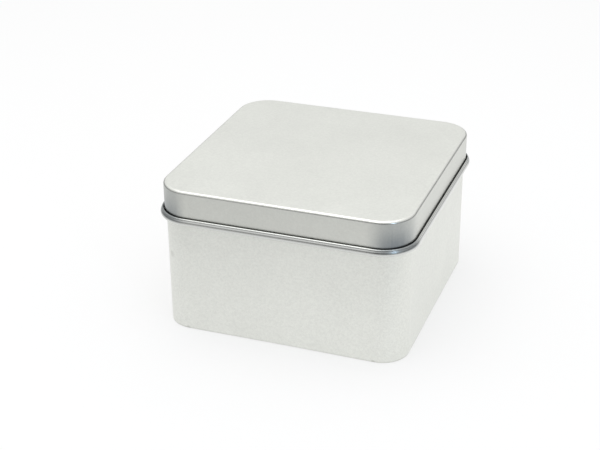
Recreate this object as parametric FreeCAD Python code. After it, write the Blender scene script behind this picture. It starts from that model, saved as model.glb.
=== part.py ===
import FreeCAD
import Part
import math
import os

# A square slip-lid tin, shut: a body with rounded corners and a lid of thin
# tinplate that slides down over it. The lid's lower edge is rolled outwards
# and up into an open curl that leans back towards the skirt, which stiffens it
# and hides the cut edge.
# All sizes are in millimetres. The tin stands on z = 0, centred on x = y = 0.

# The body, shut under its lid, so it is one closed solid up to its rim.
BODY_WIDTH = 98.0           # flat side to flat side
BODY_CORNER_RADIUS = 10.8   # of the upright corners
BODY_FOOT_RADIUS = 0.6      # bend from the walls to the bottom
TIN_HEIGHT = 60.0           # floor to the top of the lid

# The lid, drawn from one sheet.
SHEET = 0.25                # thickness of the tinplate
SIDE_CLEARANCE = 0.75       # between the lid and the body along the flat sides
CORNER_CLEARANCE = 0.42     # between the lid and the body across a corner
LID_DEPTH = 13.65           # top of the panel to the bottom of the curl
LID_EDGE_RADIUS = 1.1       # outside bend from the top panel to the skirt
CURL_WIDTH = 1.84           # outside width of the rolled edge, the sheet of the skirt included
CURL_LEAN_RADIUS = 2.4      # outside radius of the curl's outer side, which leans back
CURL_SLOT = 0.55            # open slot between the skirt and the curl's cut edge

LEVEL_TOLERANCE = 1e-6      # edges this near to a height lie at it

# Sizes that follow.
body_half = BODY_WIDTH / 2
body_top = TIN_HEIGHT - SHEET
lid_half = body_half + SIDE_CLEARANCE + SHEET
lid_bend_inside = LID_EDGE_RADIUS - SHEET
curl_foot_radius = CURL_WIDTH / 2
curl_centre_z = TIN_HEIGHT - LID_DEPTH + curl_foot_radius

# The lid's corner stands CORNER_CLEARANCE off the body's corner, measured along
# the diagonal, which fixes its radius once the flat sides are placed.
corner_growth = (SIDE_CLEARANCE * math.sqrt(2) - CORNER_CLEARANCE) / (math.sqrt(2) - 1)
lid_corner_radius = BODY_CORNER_RADIUS + corner_growth + SHEET


def rounded_square(half, radius, z):
    """Closed wire of a square with rounded corners at height z: four straight
    sides joined by tangent quarter circles."""
    centre = half - radius
    edges = []
    for turn in range(4):
        start = math.radians(90 * turn)
        middle = start + math.radians(45)
        end = start + math.radians(90)
        cx = centre * (1 if turn in (0, 3) else -1)
        cy = centre * (1 if turn in (0, 1) else -1)
        points = [
            FreeCAD.Vector(cx + radius * math.cos(angle), cy + radius * math.sin(angle), z)
            for angle in (start, middle, end)
        ]
        edges.append(Part.Arc(*points).toShape())
    sides = []
    for turn in range(4):
        leaving = edges[turn].lastVertex().Point
        arriving = edges[(turn + 1) % 4].firstVertex().Point
        sides.append(Part.makeLine(leaving, arriving))
    return Part.Wire(Part.__sortEdges__(edges + sides))


def rounded_block(half, radius, low, high):
    """Upright block of rounded-square plan between two heights."""
    face = Part.Face(rounded_square(half, radius, low))
    return face.extrude(FreeCAD.Vector(0, 0, high - low))


def round_outer_edges(block, z, radius):
    """Round the edges that lie in the horizontal plane at z."""
    edges = [
        edge for edge in block.Edges
        if max(abs(edge.BoundBox.ZMin - z), abs(edge.BoundBox.ZMax - z)) < LEVEL_TOLERANCE
    ]
    return block.makeFillet(radius, edges)


def make_body():
    """The closed tin below and inside the lid. Its rim is bent like the inside
    of the lid, so that the lid's panel sits flat on it."""
    block = rounded_block(body_half, BODY_CORNER_RADIUS, 0, body_top)
    block = round_outer_edges(block, 0, BODY_FOOT_RADIUS)
    return round_outer_edges(block, body_top, lid_bend_inside)


def on_circle(centre_x, centre_z, radius, degrees):
    """Point of the lid's section on a circle, by its angle from straight out."""
    angle = math.radians(degrees)
    return FreeCAD.Vector(centre_x + radius * math.cos(angle), 0, centre_z + radius * math.sin(angle))


def lid_section(wall_x):
    """Section of the lid's rim in the XZ plane, for a skirt whose outer face is
    at x = wall_x: the bend from the panel, the skirt, and the curl. The curl
    leaves the skirt downwards, turns out and up through half a circle, and leans
    back on a wider arc until its cut edge stands across the slot."""
    bend_x = wall_x - LID_EDGE_RADIUS
    bend_z = TIN_HEIGHT - LID_EDGE_RADIUS
    foot_x = wall_x - SHEET + curl_foot_radius
    lean_x = foot_x + curl_foot_radius - CURL_LEAN_RADIUS
    lean_end = math.degrees(math.acos((wall_x + CURL_SLOT - lean_x) / CURL_LEAN_RADIUS))
    foot_inside = curl_foot_radius - SHEET
    lean_inside = CURL_LEAN_RADIUS - SHEET

    def arc(x, z, radius, *angles):
        return Part.Arc(*[on_circle(x, z, radius, angle) for angle in angles]).toShape()

    def line(start, end):
        return Part.makeLine(start, end)

    bend_out = arc(bend_x, bend_z, LID_EDGE_RADIUS, 90, 45, 0)
    bend_in = arc(bend_x, bend_z, lid_bend_inside, 90, 45, 0)
    foot_out = arc(foot_x, curl_centre_z, curl_foot_radius, -180, -90, 0)
    foot_in = arc(foot_x, curl_centre_z, foot_inside, -180, -90, 0)
    lean_out = arc(lean_x, curl_centre_z, CURL_LEAN_RADIUS, 0, lean_end / 2, lean_end)
    lean_in = arc(lean_x, curl_centre_z, lean_inside, 0, lean_end / 2, lean_end)
    edges = [
        bend_out,
        line(bend_out.lastVertex().Point, foot_in.firstVertex().Point),
        foot_in,
        lean_in,
        line(lean_in.lastVertex().Point, lean_out.lastVertex().Point),
        lean_out,
        foot_out,
        line(foot_out.firstVertex().Point, bend_in.lastVertex().Point),
        bend_in,
        line(bend_in.firstVertex().Point, bend_out.firstVertex().Point),
    ]
    return Part.Face(Part.Wire(Part.__sortEdges__(edges)))


def make_lid():
    """The lid: a flat panel, four straight lengths of the rim section, and the
    same section turned a quarter round each corner."""
    straight = lid_half - lid_corner_radius
    up = FreeCAD.Vector(0, 0, 1)
    side = lid_section(lid_half)
    side.translate(FreeCAD.Vector(0, -straight, 0))
    side = side.extrude(FreeCAD.Vector(0, 2 * straight, 0))
    corner = lid_section(lid_corner_radius)
    corner = corner.revolve(FreeCAD.Vector(0, 0, 0), up, 90)
    corner.translate(FreeCAD.Vector(straight, straight, 0))
    pieces = []
    for turn in range(4):
        for shape in (side, corner):
            piece = shape.copy()
            piece.rotate(FreeCAD.Vector(0, 0, 0), up, 90 * turn)
            pieces.append(piece)
    panel_half = lid_half - LID_EDGE_RADIUS
    panel_radius = lid_corner_radius - LID_EDGE_RADIUS
    panel = rounded_block(panel_half, panel_radius, TIN_HEIGHT - SHEET, TIN_HEIGHT)
    return panel.fuse(pieces).removeSplitter()


os.makedirs("parts", exist_ok=True)
for name, shape in (("body", make_body()), ("lid", make_lid())):
    if len(shape.Solids) != 1 or not shape.isValid():
        raise ValueError(name + " is not one sound solid")
    solid = shape.Solids[0]
    solid.exportStep("parts/" + name + ".step")
    box = solid.optimalBoundingBox(False, False)
    print(name, "volume", round(solid.Volume, 2), "mm3, width", round(box.XLength, 3), "mm")
    print("    from", round(box.ZMin, 3), "to", round(box.ZMax, 3), "mm,", len(solid.Faces), "faces")
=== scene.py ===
import math
import bpy
import numpy as np
from mathutils import Matrix, Vector


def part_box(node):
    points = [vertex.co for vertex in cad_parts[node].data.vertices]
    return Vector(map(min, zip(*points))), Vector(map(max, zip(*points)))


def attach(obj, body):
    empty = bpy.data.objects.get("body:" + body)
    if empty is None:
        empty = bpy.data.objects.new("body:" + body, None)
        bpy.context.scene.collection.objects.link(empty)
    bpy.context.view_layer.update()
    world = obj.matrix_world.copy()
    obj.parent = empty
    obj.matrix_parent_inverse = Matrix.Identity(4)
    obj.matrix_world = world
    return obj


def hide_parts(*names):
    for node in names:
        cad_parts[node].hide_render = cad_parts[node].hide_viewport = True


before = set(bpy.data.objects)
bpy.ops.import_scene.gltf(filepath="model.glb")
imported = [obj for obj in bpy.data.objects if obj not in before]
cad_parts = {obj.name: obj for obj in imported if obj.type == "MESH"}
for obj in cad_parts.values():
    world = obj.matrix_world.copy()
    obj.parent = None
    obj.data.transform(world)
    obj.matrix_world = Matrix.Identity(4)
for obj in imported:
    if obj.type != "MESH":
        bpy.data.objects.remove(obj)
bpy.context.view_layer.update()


# The body. A deep tin drawn from one sheet of frosted tinplate: four upright walls with round
# corners, and a tight bend at the foot into a flat bottom. Between its corners the foot springs
# up a hair, so the tin stands on its four corners. Its rim is out of sight under the lid.
body_low, body_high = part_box("body")
BODY_HALF = (body_high.x - body_low.x) / 2      # centre to the flat of a wall
BODY_TOP = body_high.z
BODY_CORNER_RADIUS = 0.0108
BODY_FOOT_RADIUS = 0.0006
BODY_RIM_RADIUS = 0.00085                       # bend under the lid's edge
FOOT_SPRING = 0.00018                           # lift of the foot half way along a side
FOOT_SPRING_REACH = 0.004                       # height in which the lift dies away up the wall
BEND_INSET = 0.995                              # flat sheet ends this share of the way to a bend


def square_path(half, corner_radius, corner_steps, side_steps):
    """Path round a square with rounded corners, once round from the start of the rear right corner.
    Returns the spine, a plain square whose corners are the centres of the round ones, and the
    outward direction at each point. A ring at reach r is spine + r * outward, so every ring is
    parallel to the others."""
    centre = half - corner_radius
    turn = np.linspace(0, np.pi / 2, corner_steps + 1)
    along = np.linspace(0, 1, side_steps + 1)[1:-1]
    spines, outwards = [], []
    for quarter in range(4):
        start = quarter * np.pi / 2
        corner = centre * np.sign([np.cos(start + np.pi / 4), np.sin(start + np.pi / 4)])
        following = centre * np.sign([np.cos(start + 3 * np.pi / 4), np.sin(start + 3 * np.pi / 4)])
        arc = np.stack([np.cos(start + turn), np.sin(start + turn)], 1)
        side = corner + along[:, None] * (following - corner)
        spines += [np.repeat(corner[None], len(turn), 0), side]
        outwards += [arc, np.repeat(arc[-1:], len(along), 0)]
    return np.concatenate(spines), np.concatenate(outwards)


def swept(name, path, shrink, reach, height, lift=None, finish=None):
    """Closed surface carried round the path by a profile of (shrink, reach, height).
    Point (i, j) is shrink[i] * (spine[j] + reach[i] * outward[j]) at height[i]. The first and
    last profile points have shrink 0, so they are single points on the axis. lift, where it is
    given, is added to the heights, and finish is the number of the material of each row."""
    spine, outward = path
    rows, columns = len(shrink) - 2, len(spine)
    inner = slice(1, -1)
    flat = shrink[inner, None, None] * (spine[None] + reach[inner, None, None] * outward[None])
    level = np.repeat(height[inner, None], columns, 1)
    if lift is not None:
        level = level + lift[inner]
    grid = np.concatenate([flat, level[..., None]], 2).reshape(-1, 3)
    poles = [[0, 0, height[0]], [0, 0, height[-1]]]
    first, last = rows * columns, rows * columns + 1
    j = np.arange(columns)
    k = (j + 1) % columns
    i = np.arange(rows - 1)[:, None] * columns
    quads = np.stack([i + j, i + k, i + columns + k, i + columns + j], 2).reshape(-1, 4)
    fan_in = np.stack([k, j, np.full(columns, first)], 1)
    end = (rows - 1) * columns
    fan_out = np.stack([end + j, end + k, np.full(columns, last)], 1)
    mesh = bpy.data.meshes.new(name)
    faces = quads.tolist() + fan_in.tolist() + fan_out.tolist()
    mesh.from_pydata(np.concatenate([grid, poles]), [], faces)
    if finish is not None:
        of_quads = np.repeat(finish[1:-1], columns)
        of_fans = np.repeat(finish[[0, -1]], columns)
        of_face = np.concatenate([of_quads, of_fans]).astype(np.int32)
        mesh.polygons.foreach_set("material_index", of_face)
    mesh.update()
    mesh.shade_smooth()
    piece = bpy.data.objects.new(name, mesh)
    bpy.context.scene.collection.objects.link(piece)
    return piece


def bend(centre_reach, centre_height, radius, start, end, steps):
    """Points of a circular bend in the profile, from angle start to end in degrees, where 0
    points straight out and 90 straight up."""
    angle = np.radians(np.linspace(start, end, steps + 1))
    return centre_reach + radius * np.cos(angle), centre_height + radius * np.sin(angle)


def profile(*stretches):
    """Joins stretches of (shrink, reach, height), and what else they give, into one profile.
    Single numbers in a stretch hold for all of its points."""
    filled = [np.broadcast_arrays(*map(np.atleast_1d, stretch)) for stretch in stretches]
    return [np.concatenate(column).astype(float) for column in zip(*filled)]


body_path = square_path(BODY_HALF, BODY_CORNER_RADIUS, 32, 24)
foot = bend(BODY_CORNER_RADIUS - BODY_FOOT_RADIUS, BODY_FOOT_RADIUS, BODY_FOOT_RADIUS, -90, 0, 8)
rim = bend(BODY_CORNER_RADIUS - BODY_RIM_RADIUS, BODY_TOP - BODY_RIM_RADIUS, BODY_RIM_RADIUS, 0, 90, 8)
wall = np.concatenate([[0.0002], np.linspace(0.004, 0.996, 30), [0.9998]])
wall_height = BODY_FOOT_RADIUS + wall * (BODY_TOP - BODY_RIM_RADIUS - BODY_FOOT_RADIUS)
body_shrink, body_reach, body_height = profile(
    (np.linspace(0, BEND_INSET, 12), foot[0][0], 0),
    (1, *foot),
    (1, BODY_CORNER_RADIUS, wall_height),
    (1, *rim),
    (np.linspace(BEND_INSET, 0, 6), rim[0][-1], BODY_TOP),
)


def foot_spring(path, shrink, height):
    """Lift of the foot at each (height, point of the path). With t as 0 half way along a side and
    1 at its corners it is spring * cos(t * pi / 2) ** 2 * exp(-height / reach), on the walls and
    the outer half of the bottom."""
    spine = path[0]
    t = np.minimum(np.abs(spine[:, 0]), np.abs(spine[:, 1])) / np.abs(spine).max()
    by_height = np.exp(-np.maximum(height, 0) / FOOT_SPRING_REACH) * (shrink > 0.5)
    return FOOT_SPRING * by_height[:, None] * np.cos(t * np.pi / 2)[None] ** 2


tin_body = swept("tin_body", body_path, body_shrink, body_reach, body_height,
                 foot_spring(body_path, body_shrink, body_height))


def add(nodes, kind, **values):
    """A new node with its settings, and the values of its inputs by their names."""
    node = nodes.new(kind)
    for key, value in values.items():
        if key.replace("_", " ") in node.inputs:
            node.inputs[key.replace("_", " ")].default_value = value
        else:
            setattr(node, key, value)
    return node


def sum_of(tree, operation, first, second):
    """One sum or comparison of two values, each a socket or a number. Returns its result."""
    node = add(tree.nodes, "ShaderNodeMath", operation=operation)
    for socket, value in zip(node.inputs, (first, second)):
        if isinstance(value, bpy.types.NodeSocket):
            tree.links.new(value, socket)
        else:
            socket.default_value = value
    return node.outputs[0]


def step_of(tree, value, low, high, at_low=0.0, at_high=1.0):
    """Smooth step of a value: at_low up to low, and at_high from high on. Returns its result."""
    node = add(tree.nodes, "ShaderNodeMapRange", interpolation_type="SMOOTHSTEP")
    tree.links.new(value, node.inputs["Value"])
    node.inputs["From Min"].default_value = low
    node.inputs["From Max"].default_value = high
    node.inputs["To Min"].default_value = at_low
    node.inputs["To Max"].default_value = at_high
    return node.outputs["Result"]


def noise_of(tree, place, size, detail, stretch=(1, 1, 1)):
    """Noise about 0.5, with blotches about as wide as size, times stretch in x, y and z."""
    spread = add(tree.nodes, "ShaderNodeMapping", Scale=[1 / (size * times) for times in stretch])
    tree.links.new(place, spread.inputs["Vector"])
    node = add(tree.nodes, "ShaderNodeTexNoise", Scale=1, Detail=detail, Roughness=0.55)
    tree.links.new(spread.outputs["Vector"], node.inputs["Vector"])
    return node.outputs["Fac"]


FINE_GRAIN = 0.00035                            # width of the smallest spots of the frosting
COARSE_GRAIN = 0.0009
CLOUDS = 0.022
GRAIN_DEPTH = 0.00002
GLOSS_SPREAD = 0.04                             # roughness varies by this much up and down


def frosted_tinplate(name, colour, contrast, roughness):
    """Matt rolled tinplate. Its colour varies by contrast, as a share, with a frosted grain of
    two sizes and with broad faint clouds from handling. The grain also shows in the gloss and
    as relief. Returns the material and the place that its patterns are laid out on."""
    material = bpy.data.materials.new(name)
    material.use_nodes = True
    tree = material.node_tree
    shader = tree.nodes["Principled BSDF"]
    shader.inputs["Metallic"].default_value = 1
    place = tree.nodes.new("ShaderNodeTexCoord").outputs["Object"]
    fine = noise_of(tree, place, FINE_GRAIN, 2)
    grain = sum_of(tree, "ADD", fine, noise_of(tree, place, COARSE_GRAIN, 2))
    clouds = noise_of(tree, place, CLOUDS, 3)
    grain_part = sum_of(tree, "MULTIPLY", grain, 0.4)
    mixed = sum_of(tree, "ADD", grain_part, sum_of(tree, "MULTIPLY", clouds, 0.2))
    tone = add(tree.nodes, "ShaderNodeMix", data_type="RGBA")
    tree.links.new(mixed, tone.inputs["Factor"])
    tone.inputs["A"].default_value = (*[value * (1 - contrast) for value in colour], 1)
    tone.inputs["B"].default_value = (*[value * (1 + contrast) for value in colour], 1)
    tree.links.new(tone.outputs["Result"], shader.inputs["Base Color"])
    gloss = step_of(tree, mixed, 0.3, 0.7, roughness - GLOSS_SPREAD, roughness + GLOSS_SPREAD)
    tree.links.new(gloss, shader.inputs["Roughness"])
    relief = add(tree.nodes, "ShaderNodeBump", Strength=0.3, Distance=GRAIN_DEPTH)
    tree.links.new(grain, relief.inputs["Height"])
    tree.links.new(relief.outputs["Normal"], shader.inputs["Normal"])
    return material, place


def treated(material, share, tint, roughness):
    """Where share is 1, multiplies the colour of a finish by tint and gives it that roughness."""
    tree = material.node_tree
    shader = tree.nodes["Principled BSDF"]
    tone = add(tree.nodes, "ShaderNodeMix", data_type="RGBA", blend_type="MULTIPLY")
    tree.links.new(share, tone.inputs["Factor"])
    tree.links.new(shader.inputs["Base Color"].links[0].from_socket, tone.inputs["A"])
    tone.inputs["B"].default_value = (*tint, 1)
    tree.links.new(tone.outputs["Result"], shader.inputs["Base Color"])
    gloss = add(tree.nodes, "ShaderNodeMix", data_type="FLOAT")
    tree.links.new(share, gloss.inputs["Factor"])
    tree.links.new(shader.inputs["Roughness"].links[0].from_socket, gloss.inputs["A"])
    gloss.inputs["B"].default_value = roughness
    tree.links.new(gloss.outputs["Result"], shader.inputs["Roughness"])


def away_from(tree, place, point):
    """Distance of a place from a point. Returns its result."""
    node = add(tree.nodes, "ShaderNodeVectorMath", operation="DISTANCE")
    tree.links.new(place, node.inputs[0])
    node.inputs[1].default_value = point
    return node.outputs["Value"]


BODY_COLOUR = (0.755, 0.765, 0.725)
SCUFF_TINT = (0.88, 0.88, 0.87)
SCUFF_LOW = 0.0003
SCUFF_HIGH = 0.0010
WORN_ROUGHNESS = 0.45
# Its marks, each with its place, radius and tint: a dark speck of painted shadow near each end of
# the front foot, where the foot starts to lift off the floor, and a faint smudge on the front left corner.
SHADE_SPECKS_AND_SMUDGE = (
    ((-0.0383, -0.0489, 0.0004), 0.0011, 0.80),
    ((0.0379, -0.0489, 0.0004), 0.0010, 0.80),
    ((-0.0446, -0.0469, 0.0311), 0.0020, 0.90),
)

# The bend at the foot is scuffed, where the tin slides on shelves.
body_finish, place = frosted_tinplate("frosted body tinplate", BODY_COLOUR, 0.30, 0.40)
tree = body_finish.node_tree
along = tree.nodes.new("ShaderNodeSeparateXYZ")
tree.links.new(place, along.inputs[0])
scuffed = step_of(tree, along.outputs["Z"], SCUFF_LOW, SCUFF_HIGH, 1, 0)
treated(body_finish, scuffed, SCUFF_TINT, WORN_ROUGHNESS)
# The first two are painted shadow, the third a smudge.
for point, radius, tint in SHADE_SPECKS_AND_SMUDGE:
    shaded_or_smudged = step_of(tree, away_from(tree, place, point), 0.3 * radius, radius, 1, 0)
    treated(body_finish, shaded_or_smudged, (tint, tint, tint), WORN_ROUGHNESS)
tin_body.data.materials.append(body_finish)
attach(tin_body, "root")
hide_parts("body")


# The lid. One pressing of thinner tinplate: a flat panel, a small even bend all round, and a
# short skirt that slides down over the body. Its lower edge is rolled outwards and up into an
# open curl that leans back, so the outside of the curl is the bright inner face of the sheet.
lid_low, lid_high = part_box("lid")
SHEET = 0.00025
LID_CORNER_RADIUS = 0.0126                      # of the skirt's outer face
LID_EDGE_RADIUS = 0.0011                        # outside bend from the panel to the skirt
CURL_RADIUS = 0.00092                           # outside radius of the foot of the curl
LEAN_RADIUS = 0.0024                            # outside radius of its outer side, which leans back
LEAN_END = 35                                   # where the outer side meets the lip, in degrees
LIP_RADIUS = 0.00052                            # outside radius of the lip, which turns in the cut edge
LIP_END = 100                                   # where the cut edge lies, in degrees
LIP_RISE = 0.00004                              # step up into the lip, which shows as a crease
LID_TOP = lid_high.z
CURL_HEIGHT = lid_low.z + CURL_RADIUS           # centre of the curl's foot
LID_HALF = (lid_high.x - lid_low.x) / 2 - 2 * CURL_RADIUS + SHEET

lid_path = square_path(LID_HALF, LID_CORNER_RADIUS, 32, 24)
edge_reach = LID_CORNER_RADIUS - LID_EDGE_RADIUS
edge_height = LID_TOP - LID_EDGE_RADIUS
edge_out = bend(edge_reach, edge_height, LID_EDGE_RADIUS, 90, 0, 12)
edge_in = bend(edge_reach, edge_height, LID_EDGE_RADIUS - SHEET, 0, 90, 8)
foot_reach = LID_CORNER_RADIUS - SHEET + CURL_RADIUS
foot_in = bend(foot_reach, CURL_HEIGHT, CURL_RADIUS - SHEET, -180, 0, 20)
foot_out = bend(foot_reach, CURL_HEIGHT, CURL_RADIUS, 0, -180, 30)
lean_reach = foot_reach + CURL_RADIUS - LEAN_RADIUS
lean_in = bend(lean_reach, CURL_HEIGHT, LEAN_RADIUS - SHEET, 5, LEAN_END, 11)
lean_out = bend(lean_reach, CURL_HEIGHT, LEAN_RADIUS, LEAN_END - 2, 4, 16)
lip_reach = lean_reach + LEAN_RADIUS * math.cos(math.radians(LEAN_END)) - LIP_RADIUS
lip_height = CURL_HEIGHT + LEAN_RADIUS * math.sin(math.radians(LEAN_END)) + LIP_RISE
lip_in = bend(lip_reach, lip_height, LIP_RADIUS - SHEET, 0, LIP_END, 10)
lip_out = bend(lip_reach, lip_height, LIP_RADIUS, LIP_END, 4, 18)
skirt = np.concatenate([[0.01], np.linspace(0.03, 0.98, 14)])
skirt_height = edge_height - skirt * (edge_height - CURL_HEIGHT)
OUTER, IN_CURL, INNER = 0, 1, 2                 # the finishes: outer face, inside the curl, inner face
lid_shrink, lid_reach, lid_height, lid_finishes = profile(
    (np.append(np.linspace(0, 0.99, 12), 0.997), edge_out[0][0], LID_TOP, OUTER),
    (1, *edge_out, OUTER),
    (1, LID_CORNER_RADIUS, skirt_height, OUTER),
    (1, *foot_in, IN_CURL),
    (1, *lean_in, IN_CURL),
    (1, *lip_in, IN_CURL),
    (1, *lip_out, INNER),
    (1, *lean_out, INNER),
    (1, *foot_out, INNER),
    (1, LID_CORNER_RADIUS - SHEET, skirt_height[::-1], INNER),
    (1, *edge_in, INNER),
    (np.linspace(BEND_INSET, 0, 6), edge_in[0][-1], LID_TOP - SHEET, INNER),
)
# The profile runs down the outside first, so it is turned round for faces that look outwards.
tin_lid = swept("tin_lid", lid_path, lid_shrink[::-1], lid_reach[::-1], lid_height[::-1],
                finish=lid_finishes[:0:-1])


def product_of(tree, *shares):
    """All of the values multiplied together. Returns the result."""
    result = shares[0]
    for share in shares[1:]:
        result = sum_of(tree, "MULTIPLY", result, share)
    return result


def corner_share(tree, along, start, end):
    """1 on the round corners and 0 on the flat walls, turning over where the smaller of |x| and
    |y| lies between start and end."""
    across = sum_of(tree, "ABSOLUTE", along.outputs["X"], 0)
    deep = sum_of(tree, "ABSOLUTE", along.outputs["Y"], 0)
    return step_of(tree, sum_of(tree, "MINIMUM", across, deep), start, end)


LID_COLOUR = (0.765, 0.775, 0.735)
SKIRT_TINT = (0.85, 0.85, 0.845)                # of the whole skirt
CORNER_SHADE_TINT = (0.33, 0.36, 0.405)               # of the skirt's corners, painted shade with a painted bluish reflection
EDGE_TINT = (0.92, 0.92, 0.925)                 # of the bend round the panel
IN_CURL_SHADE_COLOUR = (0.21, 0.21, 0.205)
INNER_COLOUR = (0.64, 0.65, 0.63)
CURL_CORNER_SHADE_TINT = (0.50, 0.52, 0.54)              # of the curl where it turns a corner
EDGE_RUB_LOW = (0.0012, 0.0009)                 # depths below the top where the rubbing comes in
EDGE_RUB_HIGH = (0.0003, 0.00002)               # and where it dies away
STREAK_WIDTH = 0.0009
STREAK_STRETCH = (1, 1, 25)
CORNER_START = (0.0360, 0.0425)                 # where the corners darken, for corner_share
RIGHT_CORNER_START = (0.0335, 0.0435)
CURL_CORNER_START = (0.0340, 0.0430)
NEAR_SIDE = 0.03                                # by this far out, a place is left or right, front or rear

# The panel keeps the look of the flat sheet, the skirt is a little darker, and the bend round the
# panel is rubbed bright. The corners carry painted shade with a painted bluish reflection, darker
# towards the bottom: most at the front right, less at the left and least at the rear. That is fitted
# to the view from the front, and a real lid's four corners are likely alike.
lid_finish, place = frosted_tinplate("frosted lid tinplate", LID_COLOUR, 0.18, 0.46)
tree = lid_finish.node_tree
along = tree.nodes.new("ShaderNodeSeparateXYZ")
tree.links.new(place, along.inputs[0])
across, deep, height = along.outputs
on_skirt = step_of(tree, height, edge_height, LID_TOP - 0.0002, 1, 0)
rubbed = product_of(
    tree,
    step_of(tree, height, LID_TOP - EDGE_RUB_LOW[0], LID_TOP - EDGE_RUB_LOW[1]),
    step_of(tree, height, LID_TOP - EDGE_RUB_HIGH[0], LID_TOP - EDGE_RUB_HIGH[1], 1, 0),
)
streaks = noise_of(tree, place, STREAK_WIDTH, 3, STREAK_STRETCH)
# Painted shade and a painted bluish reflection on the skirt's corners, darkest at the front right and
# towards the bottom.
shade_on_corners = product_of(
    tree,
    corner_share(tree, along, *CORNER_START),
    step_of(tree, across, -NEAR_SIDE, NEAR_SIDE, 0.75, 0.5),
)
shade_on_front_right = product_of(
    tree,
    corner_share(tree, along, *RIGHT_CORNER_START),
    step_of(tree, across, -NEAR_SIDE, NEAR_SIDE),
    step_of(tree, deep, -0.0475, -0.0385, 1, 0.55),
)
painted_corner_shade = product_of(
    tree,
    sum_of(tree, "MAXIMUM", shade_on_corners, shade_on_front_right),
    step_of(tree, deep, -NEAR_SIDE, 0.04, 1, 0.3),
    step_of(tree, streaks, 0.3, 0.7, 0.9, 1),
    on_skirt,
    step_of(tree, height, CURL_HEIGHT + 0.002, edge_height, 1, 0.5),
)
# The whole skirt is darker than the panel.
treated(lid_finish, on_skirt, SKIRT_TINT, 0.38)
treated(lid_finish, painted_corner_shade, CORNER_SHADE_TINT, 0.32)
treated(lid_finish, rubbed, EDGE_TINT, 0.24)

# Inside the curl the sheet is dull and painted dark as shade, and the inner face of the sheet is
# smoother than the outer one. The curl's upper half carries painted shade at its corners, fitted to
# the same view, to hold back the highlight.
# Painted shade inside the curl.
in_curl_shade, _ = frosted_tinplate("painted shade in the curl", IN_CURL_SHADE_COLOUR, 0.06, 0.6)
inner_face, place = frosted_tinplate("inner face of the lid", INNER_COLOUR, 0.05, 0.20)
tree = inner_face.node_tree
along = tree.nodes.new("ShaderNodeSeparateXYZ")
tree.links.new(place, along.inputs[0])
# Painted shade on the curl's upper half at its corners, to hold back the highlight.
curl_corner_shade = product_of(
    tree,
    corner_share(tree, along, *CURL_CORNER_START),
    step_of(tree, along.outputs["Z"], CURL_HEIGHT + 0.0001, CURL_HEIGHT + 0.0007),
)
treated(inner_face, curl_corner_shade, CURL_CORNER_SHADE_TINT, 0.30)
for finish in (lid_finish, in_curl_shade, inner_face):
    tin_lid.data.materials.append(finish)
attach(tin_lid, "root")
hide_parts("lid")


# The floor: a plain white sheet that runs out of sight in every direction, with a glow of its
# own. In the tin's reflections that glow is uneven: it is brightest round GLOW_CENTRE, a little
# to the rear right, and fades further away. Its centre and strength are fitted to the view from the front.
FLOOR_HALF = 3.0
FLOOR_COLOUR = (0.30, 0.30, 0.30, 1)
SEEN_GLOW = 0.63
GLOW_CENTRE = (0.04, 0.07, 0)
floor_mesh = bpy.data.meshes.new("floor")
floor_corners = FLOOR_HALF * np.array([[-1, -1, 0], [1, -1, 0], [1, 1, 0], [-1, 1, 0]])
floor_mesh.from_pydata(floor_corners, [], [(0, 1, 2, 3)])
floor = bpy.data.objects.new("floor", floor_mesh)
bpy.context.scene.collection.objects.link(floor)
paper = bpy.data.materials.new("white paper")
paper.use_nodes = True
tree = paper.node_tree
tree.nodes.clear()
matt = add(tree.nodes, "ShaderNodeBsdfDiffuse", Color=FLOOR_COLOUR)
rays = tree.nodes.new("ShaderNodeLightPath")
away = away_from(tree, tree.nodes.new("ShaderNodeTexCoord").outputs["Object"], GLOW_CENTRE)
mirrored_glow = product_of(
    tree,
    sum_of(tree, "MAXIMUM", rays.outputs["Is Glossy Ray"], rays.outputs["Is Transmission Ray"]),
    step_of(tree, away, 0.085, 0.282, 0.73, 0.52),
    step_of(tree, away, 0.25, 0.45, 1, 0.4),
)
seen_glow = sum_of(tree, "MULTIPLY", rays.outputs["Is Camera Ray"], SEEN_GLOW)
glow = add(tree.nodes, "ShaderNodeEmission", Color=(1, 1, 1, 1))
tree.links.new(sum_of(tree, "ADD", mirrored_glow, seen_glow), glow.inputs["Strength"])
both = tree.nodes.new("ShaderNodeAddShader")
tree.links.new(matt.outputs[0], both.inputs[0])
tree.links.new(glow.outputs[0], both.inputs[1])
tree.links.new(both.outputs[0], tree.nodes.new("ShaderNodeOutputMaterial").inputs["Surface"])
floor_mesh.materials.append(paper)


# The studio: white overhead and darker low down all round, most of all in front of the tin,
# where the camera stands. One broad soft lamp hangs overhead. One small cool one stands low at
# the front right, for the sparkle on that corner, and glares on the panel from the rear left.
ROOM = ((0.0, 0.33), (0.12, 0.38), (0.37, 0.86), (0.55, 1.0), (1.0, 1.0))   # sine of height: brightness
FRONT = (0.17, -0.985, 0)
FRONT_BRIGHTNESS = 0.2                          # share of the room's brightness left low in front
world = bpy.data.worlds.new("studio")
bpy.context.scene.world = world
world.use_nodes = True
tree = world.node_tree
tree.nodes.clear()
direction = tree.nodes.new("ShaderNodeTexCoord").outputs["Generated"]
upwards = tree.nodes.new("ShaderNodeSeparateXYZ")
tree.links.new(direction, upwards.inputs[0])
room = tree.nodes.new("ShaderNodeValToRGB")
tree.links.new(upwards.outputs["Z"], room.inputs["Fac"])
for sine, _ in ROOM[1:-1]:
    room.color_ramp.elements.new(sine)
for stop, (sine, brightness) in zip(room.color_ramp.elements, ROOM):
    stop.position = sine
    stop.color = (brightness, brightness, brightness, 1)
rays = tree.nodes.new("ShaderNodeLightPath")
surround = tree.nodes.new("ShaderNodeBackground")
tree.links.new(room.outputs["Color"], surround.inputs["Color"])
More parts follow.
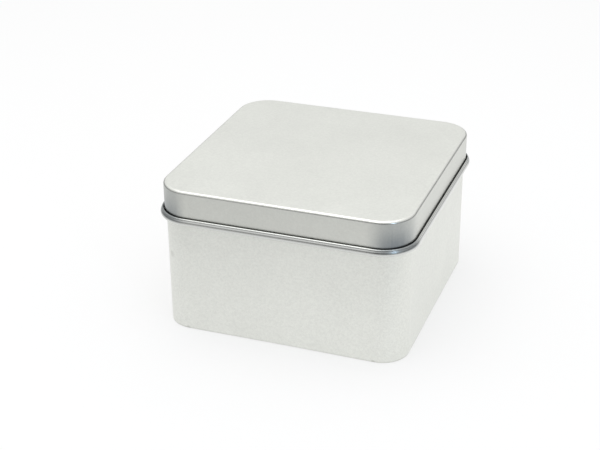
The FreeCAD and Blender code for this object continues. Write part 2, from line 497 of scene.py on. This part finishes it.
facing = add(tree.nodes, "ShaderNodeVectorMath", operation="DOT_PRODUCT")
facing.inputs[1].default_value = FRONT
tree.links.new(direction, facing.inputs[0])
low_in_front = product_of(
    tree,
    step_of(tree, facing.outputs["Value"], 0.855, 0.925),
    step_of(tree, upwards.outputs["Z"], 0.25, 0.40, 1, 0),
)
strength = step_of(tree, low_in_front, 0, 1, 1, FRONT_BRIGHTNESS)
tree.links.new(strength, surround.inputs["Strength"])
white = add(tree.nodes, "ShaderNodeBackground", Color=(1, 1, 1, 1), Strength=1.0)
choose = tree.nodes.new("ShaderNodeMixShader")
tree.links.new(rays.outputs["Is Camera Ray"], choose.inputs["Fac"])
tree.links.new(surround.outputs[0], choose.inputs[1])
tree.links.new(white.outputs[0], choose.inputs[2])
tree.links.new(choose.outputs[0], tree.nodes.new("ShaderNodeOutputWorld").inputs["Surface"])


def soft_lamp(name, place, side, radiance, colour):
    """A square lamp at place, turned towards the tin. Its power is pi * side ** 2 * radiance."""
    data = bpy.data.lights.new(name, "AREA")
    data.shape = "SQUARE"
    data.size = side
    data.energy = math.pi * side ** 2 * radiance
    data.color = colour
    lamp = bpy.data.objects.new(name, data)
    lamp.location = place
    away_from_tin = Vector(place) - Vector((0, 0, LID_TOP / 2))
    lamp.rotation_euler = away_from_tin.to_track_quat("Z", "Y").to_euler()
    lamp.visible_camera = False
    bpy.context.scene.collection.objects.link(lamp)


soft_lamp("overhead", (-0.05, -0.05, 0.75), 0.7, 1.5, (1, 1, 1))
COOL_AZIMUTH = math.radians(50)
COOL_ELEVATION = math.radians(18)
COOL_DISTANCE = 1.0
COOL_COLOUR = (0.60, 0.80, 1.0)
cool_side = COOL_DISTANCE * math.cos(COOL_ELEVATION)
cool_place = (
    cool_side * math.sin(COOL_AZIMUTH),
    -cool_side * math.cos(COOL_AZIMUTH),
    COOL_DISTANCE * math.sin(COOL_ELEVATION),
)
soft_lamp("cool", cool_place, 0.16, 9, COOL_COLOUR)


# The camera, a long lens that looks down over the front right corner. It aims a little to the
# left of the tin's middle and is rolled by half a degree.
AZIMUTH = math.radians(20.318)
ELEVATION = math.radians(26.681)
ROLL = math.radians(-0.5526)
DISTANCE = 0.5400
FOCAL_LENGTH = 79.5
SENSOR_WIDTH = 36
AIM_RIGHT = -0.008495
AIM_UP = -0.001185
outward = math.cos(ELEVATION)
back = Vector((math.sin(AZIMUTH) * outward, -math.cos(AZIMUTH) * outward, math.sin(ELEVATION)))
level = Vector((math.cos(AZIMUTH), math.sin(AZIMUTH), 0))
upright = back.cross(level)
right = math.cos(ROLL) * level + math.sin(ROLL) * upright
up = math.cos(ROLL) * upright - math.sin(ROLL) * level
aim = Vector((0, 0, LID_TOP / 2)) + AIM_RIGHT * right + AIM_UP * up
camera_data = bpy.data.cameras.new("camera")
camera_data.sensor_width = SENSOR_WIDTH
camera_data.lens = FOCAL_LENGTH
camera = bpy.data.objects.new("camera", camera_data)
placed = Matrix((right, up, back)).transposed().to_4x4()
placed.translation = aim + DISTANCE * back
camera.matrix_world = placed
bpy.context.scene.collection.objects.link(camera)
bpy.context.scene.camera = camera
bpy.context.scene.view_settings.view_transform = "Standard"
